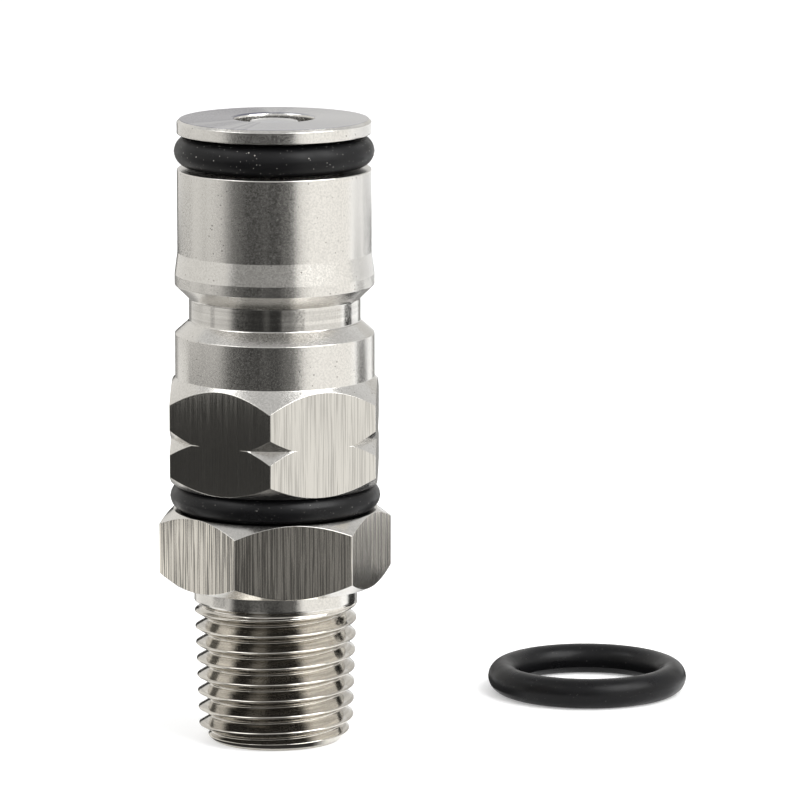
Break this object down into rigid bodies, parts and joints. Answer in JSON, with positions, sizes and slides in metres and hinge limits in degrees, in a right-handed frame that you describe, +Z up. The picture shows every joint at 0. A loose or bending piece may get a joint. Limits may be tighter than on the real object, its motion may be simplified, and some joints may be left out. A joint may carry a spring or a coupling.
{
  "type": "ball lock bulkhead post",
  "caption": "Gas post with a spring-loaded poppet, screwed on a hexagonal bulkhead fitting that ends in a tapered pipe thread, with rubber rings for both faces of a wall.",
  "frame": {"origin": "centre of the gas passage's mouth in the pipe end's end face, on the fitting's axis", "axes": "+Z up along the axis, from the pipe end to the top disc; -Y towards the side that the picture shows, +X to its right"},
  "size_m": [0.0464, 0.0369, 0.0536],
  "materials": {
    "fitting_steel": "turned stainless steel with brushed hexagon faces",
    "post_steel": "satin turned stainless steel with brushed hexagon faces",
    "sheet_steel": "pressed stainless sheet",
    "spring_steel": "drawn stainless wire",
    "stem_steel": "finely turned stainless steel",
    "ring_rubber": "black moulded rubber, slightly dusty",
    "seal_rubber": "black moulded rubber"
  },
  "bodies": {
    "bulkhead": {"bulkhead_fitting": "fitting_steel", "bulkhead_o_ring": "ring_rubber"},
    "post_seal": {"post_o_ring": "ring_rubber"},
    "post": {"post_body": "post_steel", "poppet_cage": "sheet_steel", "poppet_spring": "spring_steel"},
    "poppet": {"poppet_stem": "stem_steel", "poppet_seal": "seal_rubber"},
    "spare_ring": {"spare_o_ring": "ring_rubber"}
  },
  "joints": [
    {"name": "post_rise", "type": "slide", "parent": "bulkhead", "child": "post_seal", "axis": [0, 0, 1], "range_m": [0, 0.00423]},
    {"name": "post_turn", "type": "hinge", "parent": "post_seal", "child": "post", "pos_m": [0, 0, 0.0212], "axis": [0, 0, 1], "range_deg": [0, 1080]},
    {"name": "poppet_travel", "type": "slide", "parent": "post", "child": "poppet", "axis": [0, 0, -1], "range_m": [0, 0.0032], "stiffness_N_per_m": 1500, "springref_m": -0.0002, "deforming": ["poppet_spring"]},
    {"name": "spare_ring_lift", "type": "slide", "parent": "bulkhead", "child": "spare_ring", "axis": [0, 0, 1], "range_m": [0, 0.03]}
  ],
  "couplings": [
    {"joint": "post_turn", "follows": "post_rise", "rad_per_m": 4452.6}
  ]
}
